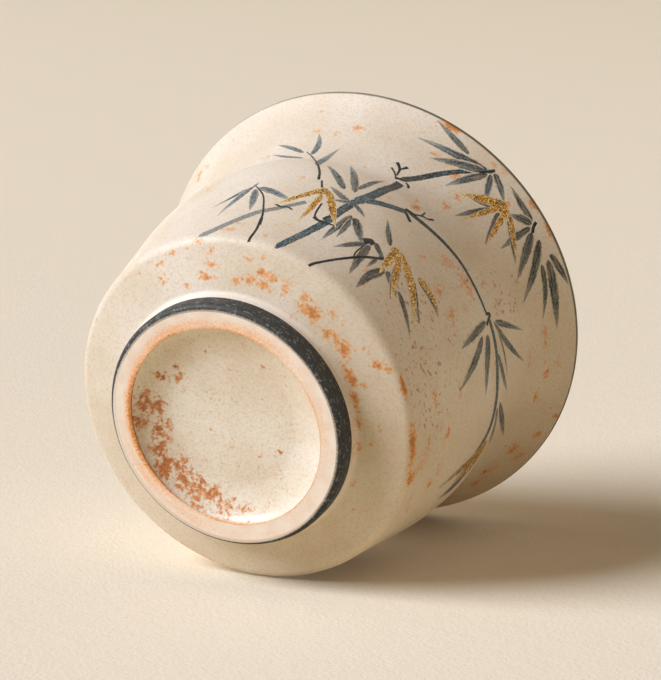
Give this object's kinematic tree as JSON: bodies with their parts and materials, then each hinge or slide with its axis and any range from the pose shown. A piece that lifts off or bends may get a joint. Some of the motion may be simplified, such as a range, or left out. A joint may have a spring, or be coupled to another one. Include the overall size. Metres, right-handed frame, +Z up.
{
  "type": "tea cup",
  "caption": "Small handleless stoneware tea cup with a low belly, soft waist, flared lip and turned foot ring, speckled cream glaze with a painted bamboo spray.",
  "frame": {"origin": "centre of the foot ring, on the face that the cup stands on", "axes": "+Z up through the mouth, along the axis of revolution; +X and +Y are across the cup, with the painting facing between +X and -Y"},
  "size_m": [0.08, 0.08, 0.057],
  "materials": {
    "stoneware_clay": "fired, unglazed",
    "bare_clay": "bare fired clay, rubbed smooth, orange flashing",
    "cream_glaze": "satin cream glaze with iron speckles and brush painting",
    "inner_cream_glaze": "satin cream glaze",
    "iron_lip": "thin iron-brown glaze line",
    "dark_slip": "matt charcoal slip, brushed",
    "well_cream_glaze": "satin cream glaze with an orange-brown iron bloom"
  },
  "bodies": {
    "root": {"cup_body": "stoneware_clay", "foot_ring": "bare_clay", "outer_glaze": "cream_glaze", "inner_glaze": "inner_cream_glaze", "lip_line": "iron_lip", "foot_band": "dark_slip", "well_glaze": "well_cream_glaze"}
  },
  "joints": []
}
